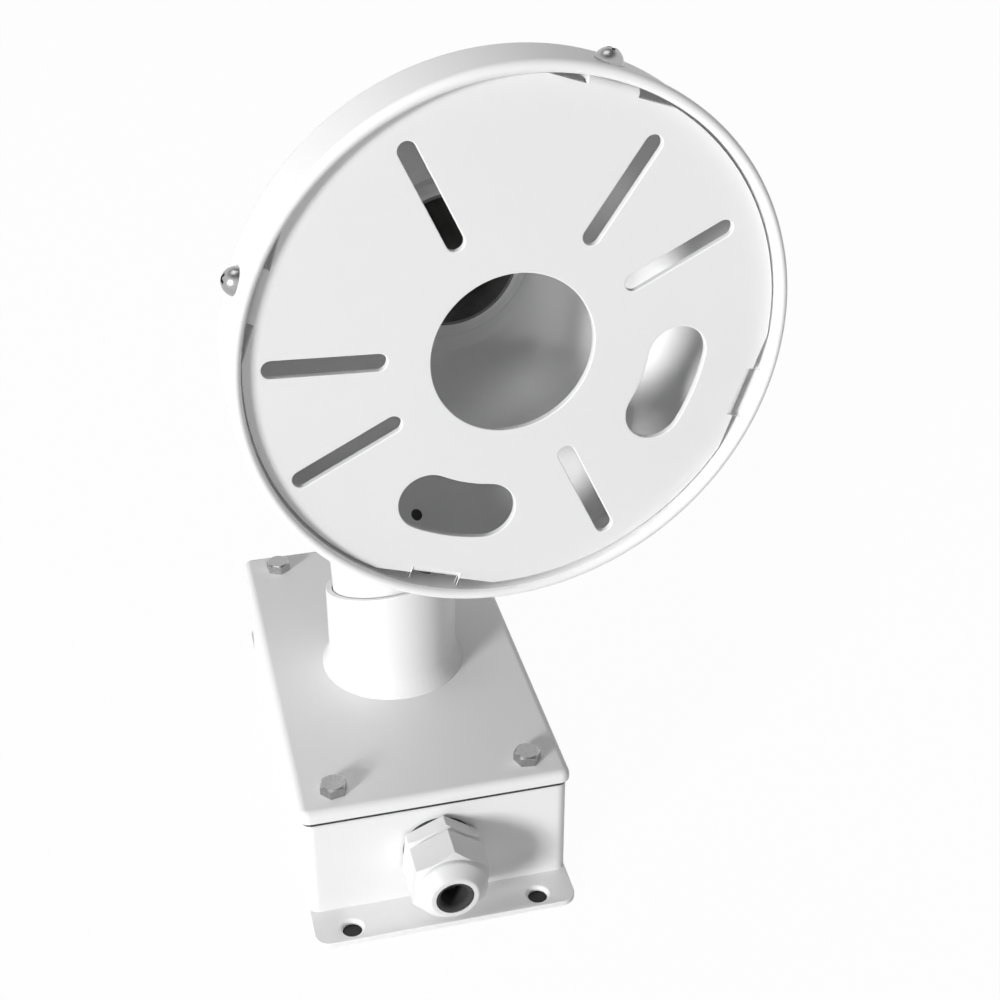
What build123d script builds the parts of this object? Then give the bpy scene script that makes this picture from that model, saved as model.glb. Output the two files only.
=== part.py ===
from build123d import *
import math
import os

# Camera wall bracket, in millimetres.
# It stands on the face that goes against the wall (z = 0) and +Z points out of the wall.
# The origin is the centre of that face. X runs across the junction box, Y along it.
# The cable gland and the camera plate both look towards -Y, which is down once it is mounted.

# Sheet that the box, the lid and the camera plate are folded from
SHEET = 1.5
BEND_RADIUS = 2.5
CORNER_RADIUS = 3.5

# Wall plate: its two ends stand out beyond the box as fixing lugs
PLATE_THICKNESS = 2.0
LUG_REACH = 15.0
LUG_RADIUS = 5.0
FIXING_HOLE = 6.5
FIXING_FROM_SIDE = 12.5
FIXING_OUT_FROM_SHELL = 9.5
FIXING_CHAMFER = 0.8

# Junction box: walls with a lip turned inwards, gasket whose edge shows under the lid, and
# tray-shaped lid
BOX_WIDTH = 88.0
BOX_LENGTH = 150.5
SHELL_TOP = 40.0
SIDE_LIP = 9.0
END_LIP = 16.0
GASKET_THICKNESS = 4.0
GASKET_INSET = 2.0
GASKET_SIDE_WIDTH = 6.5
GASKET_END_WIDTH = 13.0
GASKET_EDGE_REACH = 0.3
LID_OVERHANG = 1.0
LID_SKIRT = 4.0

# Lid bolts: M5 with hex heads, into weld nuts under the lip
BOLT_FROM_SIDE = 11.6
BOLT_FROM_END = 9.05
BOLT_THREAD = 5.0
BOLT_FLATS = 8.0
BOLT_HEAD = 3.5
BOLT_NUT_HEIGHT = 4.0
BOLT_TAIL = 2.5
BOLT_CLEARANCE = 0.6
THREAD_PLAY = 0.1
HEAD_CHAMFER = 0.4
BOLT_TURNS = (12, 37, 52, 24)

# Arm: bent tube in a slant-cut socket, turned a little about the socket's axis
TUBE_DIAMETER = 40.0
TUBE_WALL = 2.0
SOCKET_DIAMETER = 45.0
SOCKET_PLAY = 0.4
SOCKET_HEIGHT = 34.8
SOCKET_MOUTH_TILT = 17.7
SOCKET_MOUTH_TURN = 20.0
SOCKET_WELD_WIDTH = 1.8
SOCKET_WELD_HEIGHT = 3.5
ARM_TURN = 4.5
ARM_LEAN = 15.0
LEAN_START = 28.0
LEAN_BEND = 50.0
TOP_BEND = 80.0
PAN_REACH = 137.5
PAN_HEIGHT = 232.9

# Pan: round housing, spun from thicker sheet, open at the front
PAN_SHEET = 2.0
PAN_DIAMETER = 138.0
PAN_WALL_DEPTH = 17.4
PAN_BACK_DEPTH = 61.0
PAN_NECK_DIAMETER = 54.0
PAN_NECK_BEND = 5.0
PAN_SHOULDER_BEND = 3.0
PAN_LIP_RADIUS = 0.8
TUBE_INTO_PAN = 1.8
TUBE_HOLE_PLAY = 0.2
NECK_WELD_WIDTH = 3.0
DRAIN_HOLE = 3.2
DRAIN_FROM_RIM = 8.2
DRAIN_PLUG_PLAY = 0.05
DRAIN_PLUG_HEAD = 6.0
DRAIN_PLUG_HEIGHT = 1.2

# Camera plate: recessed slotted disc with four tabs folded back; its holes were punched a
# little off the middle
PLATE_RECESS = 2.5
PLATE_PLAY = 0.7
PATTERN_ANGLE = 25.0
PATTERN_SIDE = -1.2
PATTERN_UP = -1.2
CENTRE_HOLE = 41.2
FLAT_DEPTH = 2.1
TAB_WIDTH = 13.4
TAB_LENGTH = 11.5
TAB_BEND = 2.0
TAB_PLAY = 0.5
TAB_FAR_PLAY = 2.3
SLOT_WIDTH = 4.5
SLOT_INNER = 31.1
SLOT_OUTER = 60.8
KIDNEY_RADIUS = 43.3
KIDNEY_WIDTH = 15.3
KIDNEY_SWEEP = 21.0

# Screws through the pan's wall: M4 with domed heads, into weld nuts on the tabs
SCREW_THREAD = 4.0
SCREW_DEPTH = 9.8
SCREW_HEAD_DIAMETER = 7.0
SCREW_HEAD_HEIGHT = 3.1
SCREW_CLEARANCE = 0.5
SCREW_TAIL = 2.0
RECESS_WIDTH = 3.0
RECESS_BLADE = 0.8
RECESS_DEPTH = 1.2
TAB_NUT_FLATS = 7.0
TAB_NUT_HEIGHT = 3.2

# Cable gland: M20, through the box's end wall
GLAND_HEIGHT = 22.5
GLAND_THREAD = 20.0
GLAND_CLEARANCE = 0.5
GLAND_FLATS = 24.0
GLAND_TURN = 24.0
GLAND_HEX = 5.5
GLAND_BORE = 13.0
GLAND_TAIL = 2.5
GLAND_WASHER = 1.2
NECK_DIAMETER = 18.0
NECK_LENGTH = 9.5
DOME_GAP = 1.2
DOME_HEX = 12.0
DOME_REACH = 25.0
DOME_NOSE_DIAMETER = 23.2
DOME_NOSE_TAPER = 3.8
DOME_NOSE_BEND = 1.2
DOME_MOUTH = 12.5
DOME_FRONT = 2.0
LOCKNUT_HEIGHT = 5.0
SEAL_BORE = 9.0
SEAL_FRONT_DIAMETER = 14.0

# Values that follow from the driving dimensions
lip_underside = SHELL_TOP - SHEET
lid_underside = SHELL_TOP + GASKET_THICKNESS
lid_top = lid_underside + SHEET
tube_radius = TUBE_DIAMETER / 2
socket_radius = SOCKET_DIAMETER / 2
pan_radius = PAN_DIAMETER / 2
pan_bore = pan_radius - PAN_SHEET
plate_radius = pan_bore - PLATE_PLAY
flat_distance = plate_radius - FLAT_DEPTH
neck_floor = -PAN_BACK_DEPTH + PAN_SHEET
taper_run = PAN_BACK_DEPTH - PAN_WALL_DEPTH
taper_fall = pan_radius - PAN_NECK_DIAMETER / 2
tube_mouth = neck_floor + TUBE_INTO_PAN
tab_bore = math.sqrt(pan_bore ** 2 - (TAB_WIDTH / 2) ** 2)
tab_faces = [tab_bore - play for play in (TAB_PLAY, TAB_PLAY, TAB_FAR_PLAY, TAB_FAR_PLAY)]
tab_angles = [PATTERN_ANGLE + 45 + 90 * k for k in range(4)]
slot_angles = [PATTERN_ANGLE + a for a in (0, 30, 90, 150, 180, 270)]
kidney_angles = [PATTERN_ANGLE + a for a in (225, 315)]
bolt_x = BOX_WIDTH / 2 - BOLT_FROM_SIDE
bolt_y = BOX_LENGTH / 2 - BOLT_FROM_END
bolt_places = [(sx * bolt_x, sy * bolt_y) for sx in (-1, 1) for sy in (-1, 1)]


def rounded_block(width, length, bottom, top, radius):
    """Upright block with rounded corners, centred on the Z axis."""
    outline = Plane.XY.offset(bottom) * RectangleRounded(width, length, radius)
    return extrude(outline, top - bottom)


def rod(diameter, bottom, top, x=0, y=0):
    """Round rod along Z, also used to cut round holes."""
    return extrude(Plane.XY.offset(bottom) * Pos(x, y) * Circle(diameter / 2), top - bottom)


def ring(outer, inner, bottom, top):
    """Flat or tall ring about the Z axis."""
    return rod(outer, bottom, top) - rod(inner, bottom, top)


def turned(*points):
    """Solid turned about the Z axis from a half section of (radius, z) points."""
    return revolve(Plane.XZ * make_face(Polyline(*points, close=True)), Axis.Z)


def hexagon(flats, bottom, top):
    """Upright hexagon bar, given its size across flats."""
    outline = RegularPolygon(flats / 2, 6, major_radius=False)
    return extrude(Plane.XY.offset(bottom) * outline, top - bottom)


def chamfered_hexagon(flats, bottom, top):
    """Hexagon bar whose upper corners are turned down, as on a bolt's head."""
    corner = flats / math.sqrt(3)
    rim = flats / 2 - HEAD_CHAMFER
    drop = (corner - rim) / math.sqrt(3)
    blank = turned((0, bottom), (corner, bottom), (corner, top - drop), (rim, top), (0, top))
    return hexagon(flats, bottom, top) & blank


def highest_edges(solid):
    """Edges round the highest face of a solid."""
    return solid.faces().sort_by(Axis.Z)[-1].edges()


def at_gland(piece):
    """Place a piece drawn with the box's end wall at z = 0 and the outside at +Z."""
    return Pos(0, -BOX_LENGTH / 2, GLAND_HEIGHT) * Rot(90, 0, 0) * piece


def on_arm(piece):
    """Turn a piece of the arm about the socket's axis."""
    return Rot(0, 0, ARM_TURN) * piece


def in_pan(piece):
    """Place a piece drawn with the pan's axis on Z and its open front at z = 0."""
    return on_arm(Pos(0, -PAN_REACH, PAN_HEIGHT) * Rot(90, 0, 0) * piece)


def at_screw(angle, radius, piece):
    """Place a piece drawn along Z on a screw's axis, its z = 0 at a radius of the pan."""
    return in_pan(Rot(0, 0, angle) * Pos(radius, 0, -SCREW_DEPTH) * Rot(0, 90, 0) * piece)


def at_drain(piece):
    """Place a piece drawn with the pan's tapering back at z = 0 and the outside at +Z."""
    slope = math.degrees(math.atan2(taper_fall, taper_run))
    foot = Pos(pan_radius - DRAIN_FROM_RIM, 0,
               -PAN_WALL_DEPTH - DRAIN_FROM_RIM * taper_run / taper_fall)
    return Rot(0, 0, kidney_angles[0]) * foot * Rot(0, 90 + slope, 0) * piece


def wall_plate():
    """Flat plate against the wall, with two chamfered fixing holes in each lug."""
    plate = rounded_block(BOX_WIDTH, BOX_LENGTH + 2 * LUG_REACH, 0, PLATE_THICKNESS,
                          LUG_RADIUS)
    hole_x = BOX_WIDTH / 2 - FIXING_FROM_SIDE
    hole_y = BOX_LENGTH / 2 + FIXING_OUT_FROM_SHELL
    hole_radius = FIXING_HOLE / 2
    chamfer_foot = PLATE_THICKNESS - FIXING_CHAMFER
    hole = turned((0, 0), (hole_radius, 0), (hole_radius, chamfer_foot),
                  (hole_radius + FIXING_CHAMFER, PLATE_THICKNESS), (0, PLATE_THICKNESS))
    for x in (-hole_x, hole_x):
        for y in (-hole_y, hole_y):
            plate -= Pos(x, y, 0) * hole
    return plate


def box_shell():
    """Four folded walls with a lip turned inwards round the open top."""
    shell = rounded_block(BOX_WIDTH, BOX_LENGTH, PLATE_THICKNESS, SHELL_TOP, CORNER_RADIUS)
    shell = fillet(highest_edges(shell), GASKET_INSET)
    hollow = rounded_block(BOX_WIDTH - 2 * SHEET, BOX_LENGTH - 2 * SHEET, PLATE_THICKNESS,
                           lip_underside, CORNER_RADIUS - SHEET)
    shell -= fillet(highest_edges(hollow), GASKET_INSET - SHEET)
    shell -= rounded_block(BOX_WIDTH - 2 * SIDE_LIP, BOX_LENGTH - 2 * END_LIP,
                           lip_underside, SHELL_TOP, CORNER_RADIUS)
    for x, y in bolt_places:
        shell -= rod(BOLT_THREAD + BOLT_CLEARANCE, lip_underside, SHELL_TOP, x, y)
    shell -= at_gland(rod(GLAND_THREAD + GLAND_CLEARANCE, -SHEET, 0))
    return shell


def lid_gasket():
    """Rubber frame between the lip and the lid, with an edge that fills the gap under the skirt."""
    width = BOX_WIDTH - 2 * GASKET_INSET
    length = BOX_LENGTH - 2 * GASKET_INSET
    frame = rounded_block(width, length, SHELL_TOP, lid_underside, CORNER_RADIUS)
    frame += rounded_block(BOX_WIDTH + 2 * GASKET_EDGE_REACH, BOX_LENGTH + 2 * GASKET_EDGE_REACH,
                           SHELL_TOP, lid_top - LID_SKIRT, CORNER_RADIUS)
    frame -= rounded_block(width - 2 * GASKET_SIDE_WIDTH, length - 2 * GASKET_END_WIDTH,
                           SHELL_TOP, lid_underside, CORNER_RADIUS)
    for x, y in bolt_places:
        frame -= rod(BOLT_THREAD + BOLT_CLEARANCE, SHELL_TOP, lid_underside, x, y)
    return frame


def lid():
    """Shallow folded tray, upside down on the gasket, with the wire hole under the tube."""
    width = BOX_WIDTH + 2 * LID_OVERHANG
    length = BOX_LENGTH + 2 * LID_OVERHANG
    bottom = lid_top - LID_SKIRT
    tray = rounded_block(width, length, bottom, lid_top, CORNER_RADIUS)
    tray = fillet(highest_edges(tray), BEND_RADIUS)
    hollow = rounded_block(width - 2 * SHEET, length - 2 * SHEET, bottom, lid_underside,
                           CORNER_RADIUS - SHEET)
    tray -= fillet(highest_edges(hollow), BEND_RADIUS - SHEET)
    for x, y in bolt_places:
        tray -= rod(BOLT_THREAD + BOLT_CLEARANCE, lid_underside, lid_top, x, y)
    tray -= rod(TUBE_DIAMETER - 2 * TUBE_WALL, lid_underside, lid_top)
    return tray


def lid_bolts():
    """Four hex bolts, each turned as it came to rest when it was tightened."""
    reach = lid_top - lip_underside + BOLT_NUT_HEIGHT + BOLT_TAIL
    shank = rod(BOLT_THREAD, -reach, 0)
    shank = chamfer(shank.faces().sort_by(Axis.Z)[0].edges(), HEAD_CHAMFER)
    bolt = shank + chamfered_hexagon(BOLT_FLATS, 0, BOLT_HEAD)
    return [Pos(x, y, lid_top) * Rot(0, 0, turn) * bolt
            for (x, y), turn in zip(bolt_places, BOLT_TURNS)]


def lid_bolt_nuts():
    """Four weld nuts under the lip."""
    nut = hexagon(BOLT_FLATS, -BOLT_NUT_HEIGHT, 0)
    nut -= rod(BOLT_THREAD + THREAD_PLAY, -BOLT_NUT_HEIGHT, 0)
    return [Pos(x, y, lip_underside) * nut for x, y in bolt_places]


def arm_socket():
    """Upright sleeve on the lid with a slanted mouth."""
    height = SOCKET_HEIGHT + socket_radius
    sleeve = ring(SOCKET_DIAMETER, TUBE_DIAMETER + 2 * SOCKET_PLAY, 0, height)
    mouth = (Pos(0, 0, SOCKET_HEIGHT) * Rot(0, 0, SOCKET_MOUTH_TURN)
             * Rot(-SOCKET_MOUTH_TILT, 0, 0))
    sleeve -= mouth * rod(3 * SOCKET_DIAMETER, 0, SOCKET_DIAMETER)
    return Pos(0, 0, lid_top) * sleeve


def socket_weld():
    """Weld bead round the socket's foot."""
    bead = turned((socket_radius, 0), (socket_radius + SOCKET_WELD_WIDTH, 0),
                  (socket_radius + SOCKET_WELD_WIDTH / 3, SOCKET_WELD_HEIGHT / 3),
                  (socket_radius, SOCKET_WELD_HEIGHT))
    return Pos(0, 0, lid_top) * bead


def arm_tube():
    """Tube that stands on the lid, leans back and bends over into the pan."""
    lean = math.radians(ARM_LEAN)
    first_corner = lid_top + LEAN_START + LEAN_BEND * math.tan(lean / 2)
    back = (PAN_HEIGHT - first_corner) * math.tan(lean)
    path = FilletPolyline((0, 0, lid_top), (0, 0, first_corner), (0, back, PAN_HEIGHT),
                          (0, -PAN_REACH - tube_mouth, PAN_HEIGHT),
                          radius=[LEAN_BEND, TOP_BEND])
    section = Circle(tube_radius) - Circle(tube_radius - TUBE_WALL)
    return on_arm(sweep(Pos(0, 0, lid_top) * section, path))


def pan_shell():
    """Spun housing: straight wall, tapering back and a flat neck round the tube."""
    neck_radius = PAN_NECK_DIAMETER / 2
    form = turned((0, -PAN_BACK_DEPTH), (neck_radius, -PAN_BACK_DEPTH),
                  (pan_radius, -PAN_WALL_DEPTH), (pan_radius, 0), (0, 0))
    rims = form.edges().filter_by(GeomType.CIRCLE).sort_by(Axis.Z)
    form = fillet(rims[1], PAN_SHOULDER_BEND)
    form = fillet(form.edges().filter_by(GeomType.CIRCLE).sort_by(Axis.Z)[0], PAN_NECK_BEND)
    shell = offset(form, -PAN_SHEET, openings=form.faces().sort_by(Axis.Z)[-1])
    shell = fillet(highest_edges(shell), PAN_LIP_RADIUS)
    shell -= rod(TUBE_DIAMETER + 2 * TUBE_HOLE_PLAY, -PAN_BACK_DEPTH, neck_floor)
    shell -= at_drain(rod(DRAIN_HOLE, -2 * PAN_SHEET, PAN_SHEET))
    for angle in tab_angles:
        across = Pos(0, 0, -SCREW_DEPTH) * Rot(0, 90, 0) * rod(
            SCREW_THREAD + SCREW_CLEARANCE, pan_bore - PAN_SHEET, pan_radius + PAN_SHEET)
        shell -= Rot(0, 0, angle) * across
    return in_pan(shell)


def drain_plug():
    """Rubber plug in the drain hole: a stem, and a domed head on the outside."""
    stem = rod(DRAIN_HOLE - 2 * DRAIN_PLUG_PLAY, -PAN_SHEET, 0)
    head = rod(DRAIN_PLUG_HEAD, 0, DRAIN_PLUG_HEIGHT)
    head = fillet(highest_edges(head), DRAIN_PLUG_HEIGHT / 2)
    return in_pan(at_drain(stem + head))


def neck_weld():
    """Weld bead inside the pan, round the end of the tube."""
    foot = tube_radius + NECK_WELD_WIDTH
    bead = turned((tube_radius, neck_floor), (foot, neck_floor),
                  (foot - NECK_WELD_WIDTH / 3, neck_floor + TUBE_INTO_PAN * 2 / 3),
                  (tube_radius, tube_mouth))
    return in_pan(bead)


def plate_tab(face):
    """Tab at angle 0, folded back from the plate's front at z = 0, its outside at face."""
    root = face - TAB_BEND - SHEET
    strip = make_face(Polyline((root, 0), (face, 0), (face, -TAB_LENGTH),
                               (face - SHEET, -TAB_LENGTH), (face - SHEET, -SHEET),
                               (root, -SHEET), close=True))
    tab = extrude(Plane.XZ * strip, TAB_WIDTH / 2, both=True)
    along = tab.edges().filter_by(Axis.Y)
    outside = along.sort_by(lambda e: (e.center() - Vector(face, 0, 0)).length)[0]
    tab = fillet(outside, TAB_BEND)
    along = tab.edges().filter_by(Axis.Y)
    inner = Vector(face - SHEET, 0, -SHEET)
    inside = along.sort_by(lambda e: (e.center() - inner).length)[0]
    tab = fillet(inside, TAB_BEND - SHEET)
    hole = Pos(0, 0, PLATE_RECESS - SCREW_DEPTH) * Rot(0, 90, 0) * rod(
        SCREW_THREAD + SCREW_CLEARANCE, face - 2 * SHEET, face + SHEET)
    return tab - hole


def camera_plate():
    """Slotted disc: centre hole, six slots, two kidney holes, four folded tabs."""
    disc = rod(2 * plate_radius, -SHEET, 0)
    pattern = Pos(PATTERN_SIDE, PATTERN_UP, 0)
    disc -= pattern * rod(CENTRE_HOLE, -SHEET, 0)
    slot_length = SLOT_OUTER - SLOT_INNER
    slot = extrude(Pos((SLOT_OUTER + SLOT_INNER) / 2, 0) * SlotOverall(slot_length, SLOT_WIDTH),
                   -SHEET)
    for angle in slot_angles:
        disc -= pattern * Rot(0, 0, angle) * slot
    sweep_line = CenterArc((0, 0), KIDNEY_RADIUS, -KIDNEY_SWEEP / 2, KIDNEY_SWEEP)
    kidney = extrude(SlotArc(sweep_line, KIDNEY_WIDTH), -SHEET)
    for angle in kidney_angles:
        disc -= pattern * Rot(0, 0, angle) * kidney
    beyond_flat = Pos(flat_distance + pan_radius / 2, 0, -SHEET / 2) * Box(
        pan_radius, PAN_DIAMETER, 2 * SHEET)
    for angle in tab_angles:
        disc -= Rot(0, 0, angle) * beyond_flat
    for angle, face in zip(tab_angles, tab_faces):
        beyond_bend = Pos(face - TAB_BEND + pan_radius / 2, 0, -SHEET / 2) * Box(
            pan_radius, TAB_WIDTH, 2 * SHEET)
        disc -= Rot(0, 0, angle) * beyond_bend
        disc += Rot(0, 0, angle) * plate_tab(face)
    return in_pan(Pos(0, 0, -PLATE_RECESS) * disc)


def tab_screw(face):
    """Domed screw with a cross recess, drawn with the pan's outside at z = 0."""
    head_radius = SCREW_HEAD_DIAMETER / 2
    ball = (head_radius ** 2 + SCREW_HEAD_HEIGHT ** 2) / (2 * SCREW_HEAD_HEIGHT)
    head = Pos(0, 0, SCREW_HEAD_HEIGHT - ball) * Sphere(ball)
    head &= rod(SCREW_HEAD_DIAMETER, 0, SCREW_HEAD_HEIGHT)
    reach = pan_radius - face + SHEET + TAB_NUT_HEIGHT + SCREW_TAIL
    screw = head + rod(SCREW_THREAD, -reach, 0)
    blade = Pos(0, 0, SCREW_HEAD_HEIGHT - RECESS_DEPTH / 2) * Box(
        RECESS_WIDTH, RECESS_BLADE, RECESS_DEPTH)
    return screw - blade - Rot(0, 0, 90) * blade


def tab_screws():
    """Four screws through the pan's wall into the tabs, each turned as it came to rest."""
    return [at_screw(angle, pan_radius, Rot(0, 0, angle) * tab_screw(face))
            for angle, face in zip(tab_angles, tab_faces)]


def tab_nuts():
    """Four weld nuts on the inside of the tabs, one flat towards the plate."""
    nut = hexagon(TAB_NUT_FLATS, -TAB_NUT_HEIGHT, 0)
    nut -= rod(SCREW_THREAD + THREAD_PLAY, -TAB_NUT_HEIGHT, 0)
    return [at_screw(angle, face - SHEET, Rot(0, 0, 30) * nut)
            for angle, face in zip(tab_angles, tab_faces)]


def gland_washer():
    """Flat seal between the gland's collar and the box."""
    return at_gland(ring(GLAND_FLATS, GLAND_THREAD + THREAD_PLAY, 0, GLAND_WASHER))


def gland_body():
    """Threaded stem through the wall, hexagon collar, and the neck for the dome nut."""
    hex_top = GLAND_WASHER + GLAND_HEX
    tail = -SHEET - LOCKNUT_HEIGHT - GLAND_TAIL
    body = Rot(0, 0, GLAND_TURN) * chamfered_hexagon(GLAND_FLATS, GLAND_WASHER, hex_top)
    body += rod(GLAND_THREAD, tail, GLAND_WASHER)
    body += rod(NECK_DIAMETER, hex_top, hex_top + NECK_LENGTH)
    body -= rod(GLAND_BORE, tail, hex_top + NECK_LENGTH)
    return at_gland(body)


def gland_locknut():
    """Nut inside the box that holds the gland."""
    nut = chamfered_hexagon(GLAND_FLATS, 0, LOCKNUT_HEIGHT)
    nut -= rod(GLAND_THREAD + THREAD_PLAY, 0, LOCKNUT_HEIGHT)
    return at_gland(Pos(0, 0, -SHEET) * Rot(180, 0, 0) * nut)


def neck_end():
    """Distance from the box's wall to the end of the gland's neck."""
    return GLAND_WASHER + GLAND_HEX + NECK_LENGTH


def gland_dome_nut():
    """Cap nut: long hexagon, then a short nose that tapers to a round mouth."""
    start = GLAND_WASHER + GLAND_HEX + DOME_GAP
    shoulder = start + DOME_HEX
    nose = rod(DOME_NOSE_DIAMETER, shoulder, DOME_REACH)
    nose = chamfer(highest_edges(nose), DOME_NOSE_TAPER)
    rims = nose.edges().filter_by(GeomType.CIRCLE).sort_by(Axis.Z)
    nose = fillet(rims[1:], DOME_NOSE_BEND)
    nut = chamfered_hexagon(GLAND_FLATS, start, shoulder) + nose
    nut -= rod(NECK_DIAMETER + 2 * THREAD_PLAY, start, neck_end())
    nut -= seal_room(THREAD_PLAY)
    nut -= rod(DOME_MOUTH, start, DOME_REACH)
    return at_gland(Rot(0, 0, GLAND_TURN) * nut)


def seal_room(play):
    """Tapered solid between the neck's end and the dome's front."""
    front = DOME_REACH - DOME_FRONT
    return turned((0, neck_end()), (NECK_DIAMETER / 2 + play, neck_end()),
                  (SEAL_FRONT_DIAMETER / 2 + play, front), (0, front))


def gland_seal():
    """Tapered rubber ring that the dome nut presses round the cable."""
    seal = seal_room(0) - rod(SEAL_BORE, neck_end(), DOME_REACH)
    return at_gland(seal)


def write(name, solids):
    """Write one node as a STEP file."""
    if isinstance(solids, list):
        solids = Compound(children=solids)
    export_step(solids, f"parts/{name}.step")


os.makedirs("parts", exist_ok=True)
write("wall_plate", wall_plate())
write("box_shell", box_shell())
write("lid_gasket", lid_gasket())
write("lid", lid())
write("lid_bolts", lid_bolts())
write("lid_bolt_nuts", lid_bolt_nuts())
write("arm_socket", arm_socket())
write("socket_weld", socket_weld())
write("arm_tube", arm_tube())
write("pan_shell", pan_shell())
write("drain_plug", drain_plug())
write("neck_weld", neck_weld())
write("camera_plate", camera_plate())
write("tab_screws", tab_screws())
write("tab_nuts", tab_nuts())
write("gland_washer", gland_washer())
write("gland_body", gland_body())
write("gland_locknut", gland_locknut())
write("gland_dome_nut", gland_dome_nut())
write("gland_seal", gland_seal())
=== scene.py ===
import math

import bpy
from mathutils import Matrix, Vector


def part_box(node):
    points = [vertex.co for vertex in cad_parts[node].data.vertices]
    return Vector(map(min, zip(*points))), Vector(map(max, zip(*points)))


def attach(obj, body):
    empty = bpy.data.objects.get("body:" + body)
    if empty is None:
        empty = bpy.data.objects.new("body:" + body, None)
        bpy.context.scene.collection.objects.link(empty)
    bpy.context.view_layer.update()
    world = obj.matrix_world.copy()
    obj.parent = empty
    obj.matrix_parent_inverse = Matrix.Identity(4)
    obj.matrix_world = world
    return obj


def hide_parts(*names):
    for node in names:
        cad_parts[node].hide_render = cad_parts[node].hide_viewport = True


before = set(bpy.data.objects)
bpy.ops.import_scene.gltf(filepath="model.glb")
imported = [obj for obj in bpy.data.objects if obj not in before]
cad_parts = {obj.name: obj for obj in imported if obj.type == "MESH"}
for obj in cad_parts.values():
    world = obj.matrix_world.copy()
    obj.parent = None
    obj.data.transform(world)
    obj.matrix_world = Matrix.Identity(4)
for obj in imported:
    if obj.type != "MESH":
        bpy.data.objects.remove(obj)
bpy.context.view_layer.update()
bpy.ops.object.select_all(action="DESELECT")

# Camera
# The photograph was taken from in front of the housing, a little to its left and well above it,
# with a short telephoto lens.
camera_place = (-0.0815, -0.4843, 0.4138)
camera_down = math.radians(31.69)
camera_right = math.radians(14.05)
camera_lens = 61.0
camera_near = 0.01
quarter = math.radians(90)
bpy.ops.object.camera_add(location=camera_place,
                          rotation=(quarter - camera_down, 0, -camera_right))
camera = bpy.context.object
camera.data.lens = camera_lens
camera.data.sensor_width = 36
camera.data.clip_start = camera_near
bpy.context.scene.camera = camera
bpy.context.scene.view_settings.view_transform = "Standard"


# Table
# Smooth white sheet that the bracket stands on. It looks white to the camera and in reflections,
# keeps the bracket's shadow, and has painted shade where the wall plate covers it.
def plug(tree, value, target):
    """Give a socket a plain value or a wire."""
    if isinstance(value, Wire):
        tree.links.new(value.socket, target)
    else:
        target.default_value = value


class Wire:
    """A shader socket that takes part in sums like a number."""

    def __init__(self, tree, socket):
        self.tree = tree
        self.socket = socket

    def work(self, operation, second=0, first=None):
        """Math node on this value, or on another first value, and a second one."""
        node = self.tree.nodes.new("ShaderNodeMath")
        node.operation = operation
        plug(self.tree, self if first is None else first, node.inputs[0])
        plug(self.tree, second, node.inputs[1])
        return Wire(self.tree, node.outputs[0])

    def __add__(self, other):
        return self.work("ADD", other)

    def __sub__(self, other):
        return self.work("SUBTRACT", other)

    def __mul__(self, other):
        return self.work("MULTIPLY", other)

    def __lt__(self, other):
        return self.work("LESS_THAN", other)

    def __gt__(self, other):
        return self.work("GREATER_THAN", other)

    def __rsub__(self, other):
        return self.work("SUBTRACT", second=self, first=other)

    def __abs__(self):
        return self.work("ABSOLUTE")

    __radd__ = __add__
    __rmul__ = __mul__


class Finish:
    """The shader of one material or of the room, written as values and the nodes that feed them."""

    def __init__(self, owner):
        owner.use_nodes = True
        self.owner = owner
        self.tree = owner.node_tree
        self.tree.nodes.clear()

    def node(self, kind, settings=None, feeds=None, output=0, **inputs):
        """A node, with its settings, then its sockets by number (feeds) or by name (inputs)."""
        node = self.tree.nodes.new("ShaderNode" + kind)
        for key, value in (settings or {}).items():
            setattr(node, key, value)
        for number, value in (feeds or {}).items():
            plug(self.tree, value, node.inputs[number])
        for key, value in inputs.items():
            plug(self.tree, value, node.inputs[key.replace("_", " ")])
        return Wire(self.tree, node.outputs[output])

    def place(self):
        """Where a point lies on the object, in metres."""
        return self.node("TexCoord", output="Object")

    def parts(self, vector):
        """The three parts of a vector."""
        node = self.node("SeparateXYZ", Vector=vector).socket.node
        return [Wire(self.tree, socket) for socket in node.outputs]

    def vector(self, operation, first, second=None, output="Value"):
        """Vector Math node on one or two vectors."""
        feeds = {0: first} if second is None else {0: first, 1: second}
        return self.node("VectorMath", {"operation": operation}, feeds, output)

    def grain(self, size, detail=2.0, rough=0.5):
        """Cloudy pattern from 0 to 1 whose spots are about this many metres apart."""
        return self.node("TexNoise", Vector=self.place(), Scale=1 / size, Detail=detail,
                         Roughness=rough)

    def mix(self, factor, first, second):
        """Colour between two colours."""
        return self.node("Mix", {"data_type": "RGBA"}, {0: factor, 6: first, 7: second}, output=2)

    def shader(self, **inputs):
        """Principled shader straight to the surface."""
        return self.surface(self.node("BsdfPrincipled", **inputs))

    def surface(self, wire, end="OutputMaterial"):
        """Show a shader, and give back what it is for."""
        last = self.tree.nodes.new("ShaderNode" + end)
        self.tree.links.new(wire.socket, last.inputs["Surface"])
        return self.owner


def grey(level):
    """Neutral colour, given its linear level."""
    return (level, level, level, 1)


table_level = 0.92
table_glow = 0.97
table_half = 6.0
table_drop = 0.0004
shade_half = (0.0425, 0.0885)
shade_level = 0.08


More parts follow.
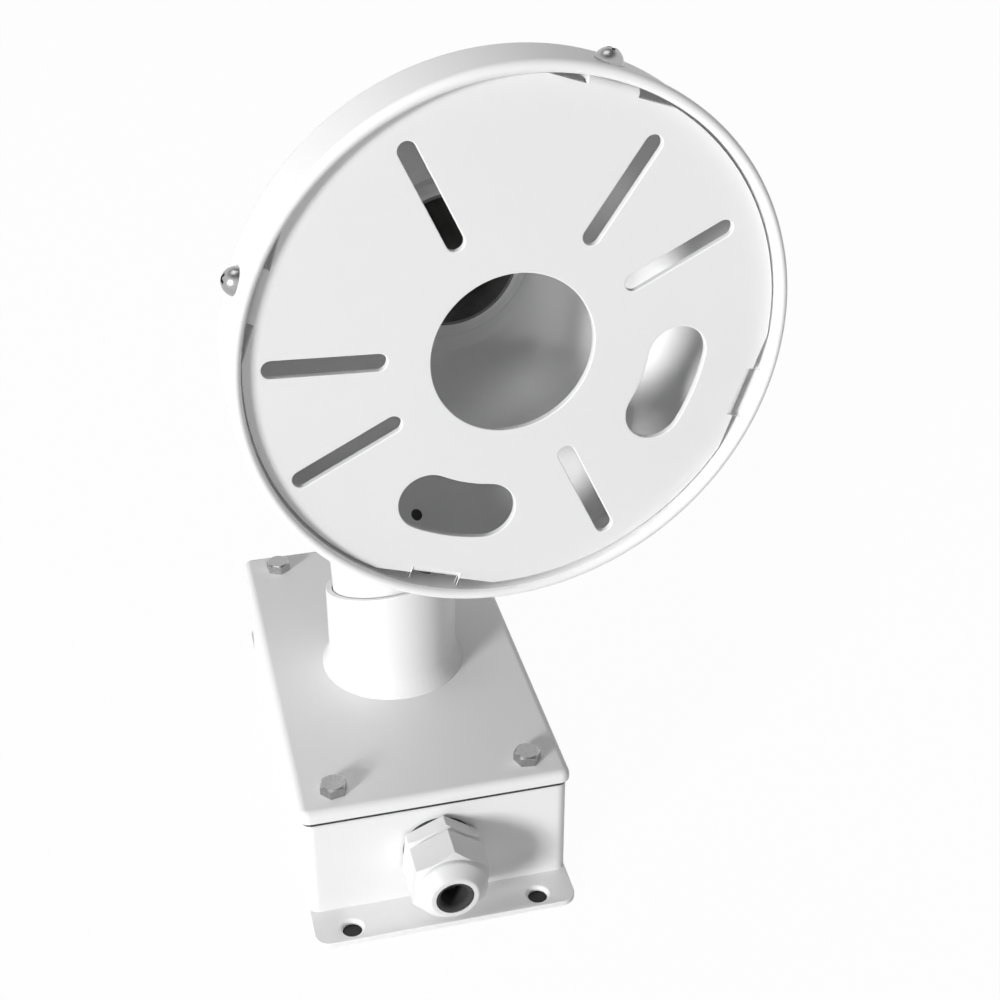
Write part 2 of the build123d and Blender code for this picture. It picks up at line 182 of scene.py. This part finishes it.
def table_finish():
    """Matt white paint that mostly glows where the camera or a reflection sees it, with painted
    shade under the wall plate.
    """
    paint = Finish(bpy.data.materials.new("table"))
    seen = paint.node("LightPath", output="Is Camera Ray")
    mirrored = paint.node("LightPath", output="Is Glossy Ray")
    across, along = paint.parts(paint.place())[:2]
    # Painted shade: under the wall plate the floor is dark and doesn't glow, and the fixing holes
    # show it.
    plate_shade_area = (abs(across) < shade_half[0]) * (abs(along) < shade_half[1])
    lit = paint.node("BsdfDiffuse", Color=paint.mix(plate_shade_area, grey(table_level), grey(shade_level)))
    white = paint.node("Emission", Color=grey(1), Strength=1.0)
    share = (seen + mirrored) * (1 - plate_shade_area) * table_glow
    return paint.surface(paint.node("MixShader", feeds={0: share, 1: lit, 2: white}))


bpy.ops.mesh.primitive_plane_add(size=2 * table_half, location=(0, 0, -table_drop))
table = bpy.context.object
table.name = "table"
bpy.ops.object.mode_set(mode="EDIT")
bpy.ops.mesh.subdivide(number_cuts=3)
bpy.ops.object.mode_set(mode="OBJECT")
bpy.ops.object.transform_apply(location=True, rotation=False, scale=False)
table.data.materials.append(table_finish())

# Room
# Even, dim light from all round, white to the camera. In reflections the room is white up to
# eye height and its ceiling is dark, so that bright metal has something to show.
room_level = 0.19
ceiling_start = 0.6
ceiling_rise = 4
room_world = bpy.data.worlds.new("room")
bpy.context.scene.world = room_world
room = Finish(room_world)
seen = room.node("LightPath", output="Is Camera Ray")
mirrored = room.node("LightPath", output="Is Glossy Ray")
height = room.parts(room.node("TexCoord", output="Generated"))[2]
ceiling = ((height - ceiling_start) * ceiling_rise).work("MAXIMUM", 0).work("MINIMUM", 1)
white_share = seen + mirrored * (1 - ceiling)
room.surface(room.node("Background", Color=grey(1),
                       Strength=room_level + white_share * (1 - room_level)), "OutputWorld")


# Lamps
# A large soft lamp low at the left front, which lights the housing and the box's near walls,
# and a weak one overhead.
def soft_lamp(name, place, width, power):
    """Square lamp at a place, turned to face the middle of the bracket."""
    bpy.ops.object.light_add(type="AREA", location=place)
    lamp = bpy.context.object
    lamp.name = name
    lamp.data.size = width
    lamp.data.energy = power
    across = [a - b for a, b in zip(middle, place)]
    flat = math.hypot(across[0], across[1])
    lamp.rotation_euler = (math.atan2(flat, -across[2]), 0,
                           math.atan2(across[1], across[0]) - quarter)


middle = (0, -0.04, 0.12)
soft_lamp("side_lamp", place=(-3.75, -3.1, 1.22), width=1.1, power=236)
soft_lamp("top_lamp", place=(-0.5, 0.3, 3.0), width=1.6, power=15)

# Wall plate
# Flat blank of 2 mm steel with two lugs and four fixing holes, welded under the box and coated
# with it. Every steel sheet and tube has the same baked white powder coat: satin, with a very
# fine orange peel and hardly any change of tone. Its rounded cut edges get a lighter coat,
# which is a painted highlight.
coat_level = 0.88
coat_drift = 0.018
drift_size = 0.06
speck_size = 0.004
coat_roughness = 0.42
peel_size = 0.0011
peel_height = 0.0004
edge_highlight_level = 0.97
cut_round = 0.00025
same_place = 0.00005
still_flat = math.radians(0.4)
sharp_corner = math.radians(35)
smooth_corner = math.radians(20)


def coat_tone(coat, drift, level=coat_level):
    """White that drifts a little round its level."""
    return coat.mix(drift, grey(level - coat_drift), grey(level + coat_drift))


def powder_coat(name, level=coat_level, peel=0.05):
    """Baked powder coat on plain sheet."""
    coat = Finish(bpy.data.materials.new(name))
    drift = coat.grain(drift_size, detail=1.0)
    speck = coat.grain(speck_size, detail=3.0)
    ripple = coat.node("Bump", Height=coat.grain(peel_size, detail=1.0), Strength=peel,
                       Distance=peel_height)
    return coat.shader(Base_Color=coat_tone(coat, drift, level),
                       Roughness=coat_roughness - 0.04 + speck * 0.08, Normal=ripple)


def rounded(node, name, keep=None):
    """Copy of a sheet piece whose cut edges are a little round, with a lighter coat on them as a
    painted highlight.
    """
    bpy.ops.object.select_all(action="DESELECT")
    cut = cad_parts[node]
    cut.select_set(True)
    bpy.context.view_layer.objects.active = cut
    bpy.ops.object.duplicate()
    piece = bpy.context.object
    piece.name = name
    piece.data.materials.clear()
    piece.data.materials.append(powder_coat(name + "_coat"))
    # The second, lighter coat on the rounded edges is a painted highlight.
    piece.data.materials.append(powder_coat(name + "_edge_highlight_coat", edge_highlight_level, peel=0.02))
    bpy.ops.object.mode_set(mode="EDIT")
    bpy.ops.mesh.select_all(action="SELECT")
    bpy.ops.mesh.remove_doubles(threshold=same_place)
    bpy.ops.mesh.dissolve_limited(angle_limit=still_flat)
    bpy.ops.mesh.select_all(action="DESELECT")
    bpy.ops.mesh.select_mode(type="EDGE")
    bpy.ops.mesh.edges_select_sharp(sharpness=sharp_corner)
    if keep:
        bpy.ops.object.mode_set(mode="OBJECT")
        points = piece.data.vertices
        for edge in piece.data.edges:
            edge.select = edge.select and all(keep(points[end].co) for end in edge.vertices)
        bpy.ops.object.mode_set(mode="EDIT")
    bpy.ops.mesh.bevel(offset=cut_round, segments=2, clamp_overlap=False, affect="EDGES",
                       material=1)
    bpy.ops.object.mode_set(mode="OBJECT")
    bpy.ops.object.shade_smooth_by_angle(angle=smooth_corner)
    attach(piece, "root")
    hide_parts(node)


rounded("wall_plate", "wall_plate_sheet")


# Box
# Walls folded from 1.5 mm steel, welded at the corners and to the wall plate, with a lip
# turned in at the top that carries the seal and the bolts' weld nuts.
def dress(node, material):
    """Give a carried-over piece its finish."""
    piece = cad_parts[node]
    for slot in piece.material_slots:
        slot.material = material


dress("box_shell", powder_coat("box_coat"))

# Lid
# Shallow tray folded from the same sheet. Its skirt hangs over the edge of the seal, and four
# bolts hold it down.
dress("lid", powder_coat("lid_coat"))

# Arm socket
# Short sleeve round the foot of the arm, cut at a slant at its mouth and welded on the lid.
rounded("arm_socket", "arm_sleeve")

# Weld round the socket's foot
# Fillet of weld metal that flares from the sleeve to the lid, brushed and coated over, so that
# only soft ripples are left of its beads.
spun_shade = math.radians(50)
bead_size = 0.004
bead_wander = 2.5
bead_height = 0.0002
foot_beads = 62
lid_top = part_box("lid")[1][2]
sleeve_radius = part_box("arm_socket")[1][0]
flare = [(-0.0003, -0.0002), (0.0027, -0.0002), (0.0026, 0.0003), (0.0020, 0.0010),
         (0.0014, 0.0020), (0.0009, 0.0033), (0.0005, 0.0048), (0.0002, 0.0062), (0.0, 0.0070),
         (-0.0003, 0.0070)]


def spun(name, profile, steps, material, place=(0, 0, 0), tilt=(0, 0, 0)):
    """Ring with a closed section of (radius, height) points, spun about its own upright axis."""
    first, start = profile[0]
    bpy.ops.object.select_all(action="DESELECT")
    bpy.ops.mesh.primitive_circle_add(vertices=steps, radius=first, location=(0, 0, 0))
    ring = bpy.context.object
    ring.name = name
    bpy.ops.object.mode_set(mode="EDIT")
    bpy.ops.mesh.select_all(action="SELECT")
    bpy.ops.transform.translate(value=(0, 0, start))
    for (last, low), (radius, height) in zip(profile, profile[1:] + profile[:1]):
        bpy.ops.mesh.extrude_region_move(TRANSFORM_OT_translate={"value": (0, 0, height - low)})
        bpy.ops.transform.resize(value=(radius / last, radius / last, 1),
                                 center_override=(0, 0, height))
    bpy.ops.mesh.select_all(action="SELECT")
    bpy.ops.mesh.remove_doubles(threshold=same_place / 5)
    bpy.ops.mesh.normals_make_consistent(inside=False)
    bpy.ops.object.mode_set(mode="OBJECT")
    ring.location = place
    ring.rotation_euler = tilt
    bpy.ops.object.transform_apply(location=True, rotation=True, scale=False)
    bpy.ops.object.shade_smooth_by_angle(angle=spun_shade)
    ring.data.materials.append(material)
    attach(ring, "root")
    return ring


def weld_coat(name, axis, across, up, beads):
    """Powder coat over the ripples that a weld leaves round an axis through a point."""
    coat = Finish(bpy.data.materials.new(name))
    from_axis = coat.vector("SUBTRACT", coat.place(), axis, output="Vector")
    side = coat.vector("DOT_PRODUCT", from_axis, across)
    angle = coat.vector("DOT_PRODUCT", from_axis, up).work("ARCTAN2", side)
    ripple = (angle * beads + coat.grain(bead_size) * bead_wander).work("SINE")
    drift = coat.grain(drift_size, detail=1.0)
    bump = coat.node("Bump", Height=ripple, Strength=0.06, Distance=bead_height)
    return coat.shader(Base_Color=coat_tone(coat, drift), Roughness=0.4 + drift * 0.05,
                       Normal=bump)


foot_weld = spun("sleeve_weld", [(sleeve_radius + out, lid_top + up) for out, up in flare], 192,
                 weld_coat("sleeve_weld_coat", (0, 0, 0), (1, 0, 0), (0, 1, 0),
                                         foot_beads))
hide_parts("socket_weld")

# Arm tube
# Steel tube of 40 mm, bent in two places over a mandrel, so that it keeps its round section.
# Inside the end that opens into the pan, the tube is painted dark and mottled, as painted shade of
# its deep bore.
arm_turn = math.radians(4.5)
pan_reach = 0.1375
pan_height = 0.2329
pan_outward = (math.sin(arm_turn), -math.cos(arm_turn), 0)
pan_across = (math.cos(arm_turn), math.sin(arm_turn), 0)
pan_front = (pan_reach * pan_outward[0], pan_reach * pan_outward[1], pan_height)
bore_shade_radius = 0.0188
bore_shade_depth = 0.088
bore_shade_levels = (0.16, 0.28)
bore_shade_grain_size = 0.003


def tube_finish():
    """Powder coat outside, and painted shade inside the bore near the pan's axis."""
    coat = Finish(bpy.data.materials.new("tube_coat"))
    from_mouth = coat.vector("SUBTRACT", coat.place(), pan_front, output="Vector")
    away = coat.vector("LENGTH", coat.vector("CROSS_PRODUCT", from_mouth, pan_outward,
                                             output="Vector"))
    along = coat.vector("DOT_PRODUCT", from_mouth, pan_outward)
    inside = (away < bore_shade_radius) * (along > -bore_shade_depth)
    # Painted shade of the deep bore: dark mottled grey inside the tube's end near the pan.
    steel = coat.mix(coat.grain(bore_shade_grain_size, detail=4.0), *map(grey, bore_shade_levels))
    tone = coat.mix(inside, coat_tone(coat, coat.grain(drift_size, detail=1.0)), steel)
    ripple = coat.node("Bump", Height=coat.grain(peel_size, detail=1.0), Strength=0.05,
                       Distance=peel_height)
    return coat.shader(Base_Color=tone, Roughness=0.38 + inside * 0.2, Normal=ripple)


dress("arm_tube", tube_finish())

# Pan
# Round housing, spun over a form from 2 mm sheet: a straight wall and a back that tapers to
# a neck round the tube.
dress("pan_shell", powder_coat("pan_coat"))

# Pan's hem
# The front edge of the pan is rolled over a little further than its wall, and its coat is
# lighter than the wall's, as a painted highlight.
hem = [(0.0689, -0.0034), (0.0694, -0.0029), (0.0697, -0.0021), (0.0697, -0.0012),
       (0.0694, -0.0004), (0.0688, 0.0001), (0.0680, 0.0002), (0.0673, -0.0001),
       (0.06688, -0.0008), (0.0676, -0.0016), (0.0684, -0.0028)]
spun("pan_hem", hem, 256, powder_coat("pan_hem_highlight_coat", edge_highlight_level - 0.02),
     pan_front, (quarter, 0, arm_turn))

# Weld in the pan's neck
# Bead laid from inside round the end of the tube, coated with the pan.
neck_beads = 56
dress("neck_weld", weld_coat("neck_weld_coat", pan_front, pan_across, (0, 0, 1), neck_beads))

# Camera plate
# Disc punched from 1.5 mm sheet with its slots and holes, and with four tabs folded back, whose
# nuts take the screws through the pan's wall. Only its cut edges are round, not the folds.
disc_depth = 0.0025
depth_play = 0.0001
flat_reach = 0.0642
fold_reach = 0.01
tab_angles = [math.radians(turn) for turn in (70, 160, 250, 340)]


def on_disc_face(point):
    """Whether a point lies on the disc's front, clear of the folds of its tabs."""
    away = [part - front for part, front in zip(point, pan_front)]
    across = sum(a * b for a, b in zip(away, pan_across))
    depth = -sum(a * b for a, b in zip(away, pan_outward))
    nearest = min(math.hypot(across - flat_reach * math.cos(turn),
                             away[2] - flat_reach * math.sin(turn)) for turn in tab_angles)
    return abs(depth - disc_depth) < depth_play and nearest > fold_reach


rounded("camera_plate", "camera_disc", on_disc_face)

# Box seal
# Black sponge rubber frame, glued on the box's lip and squeezed by the lid.
pore_size = 0.0008
pore_depth = 0.0003
rubber_levels = (0.02, 0.045)


def rubber(name):
    """Dull black rubber with fine pores."""
    skin = Finish(bpy.data.materials.new(name))
    pores = skin.grain(pore_size, detail=3.0)
    bump = skin.node("Bump", Height=pores, Strength=0.3, Distance=pore_depth)
    return skin.shader(Base_Color=skin.mix(pores, *map(grey, rubber_levels)), Roughness=0.8,
                       Normal=bump)


dress("lid_gasket", rubber("lid_seal"))

# Gland's rubbers
# A flat washer seals the gland to the box's wall. A ring grips the cable, and the dome nut
# squeezes it, so that it swells out into the nut's mouth.
dress("gland_washer", rubber("gland_washer_rubber"))
dress("gland_seal", rubber("gland_seal_rubber"))
seal_low, seal_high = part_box("gland_seal")
seal_place = ((seal_low[0] + seal_high[0]) / 2, seal_low[1], (seal_low[2] + seal_high[2]) / 2)
lip = [(0.0045, -0.0003), (0.0045, 0.0003), (0.0048, 0.0011), (0.0054, 0.00165),
       (0.0059, 0.0018), (0.0062, 0.0017), (0.0062, -0.0003)]
spun("gland_seal_lip", lip, 96, rubber("gland_lip_rubber"), seal_place,
     (quarter, 0, 0))

# Drain plug
# Small rubber plug with a flat head, pushed into the drain hole near the pan's rim. Its black is
# painted shade, standing for the dark seen through the hole.
dress("drain_plug", rubber("drain_plug_shade_rubber"))

# Bolts, screws and nuts
# Stainless steel, cold headed, with the faint marks of the die. The weld nuts, which nobody
# sees, are duller.
mark_size = 0.0012
mark_depth = 0.0002
bolt_steel = {"level": 0.42, "roughness": 0.26}
nut_steel = {"level": 0.34, "roughness": 0.4}


def stainless(name, level, roughness):
    """Bright steel with fine pressing marks."""
    steel = Finish(bpy.data.materials.new(name))
    marks = steel.grain(mark_size, detail=4.0, rough=0.7)
    bump = steel.node("Bump", Height=marks, Strength=0.15, Distance=mark_depth)
    return steel.shader(Base_Color=steel.mix(marks, grey(level - 0.06), grey(level + 0.06)),
                        Metallic=1.0, Roughness=roughness - 0.06 + marks * 0.12, Normal=bump)


dress("lid_bolts", stainless("lid_bolt_steel", **bolt_steel))
dress("lid_bolt_nuts", stainless("lid_bolt_nut_steel", **nut_steel))
dress("tab_screws", stainless("tab_screw_steel", **bolt_steel))
dress("tab_nuts", stainless("tab_nut_steel", **nut_steel))

# Cable gland
# Body, dome nut and locknut, injection moulded from light grey nylon with a slight gloss, and
# screwed through the near wall of the box.
cloud_size = 0.01
texture_size = 0.0005
texture_depth = 0.0002
nylon_levels = (0.76, 0.80)


def nylon(name):
    """Light moulded plastic with a fine mould texture."""
    skin = Finish(bpy.data.materials.new(name))
    texture = skin.grain(texture_size)
    bump = skin.node("Bump", Height=texture, Strength=0.08, Distance=texture_depth)
    return skin.shader(Base_Color=skin.mix(skin.grain(cloud_size), *map(grey, nylon_levels)),
                       Roughness=0.35 + texture * 0.08, Normal=bump)


dress("gland_body", nylon("gland_body_nylon"))
dress("gland_dome_nut", nylon("gland_dome_nylon"))
dress("gland_locknut", nylon("gland_locknut_nylon"))
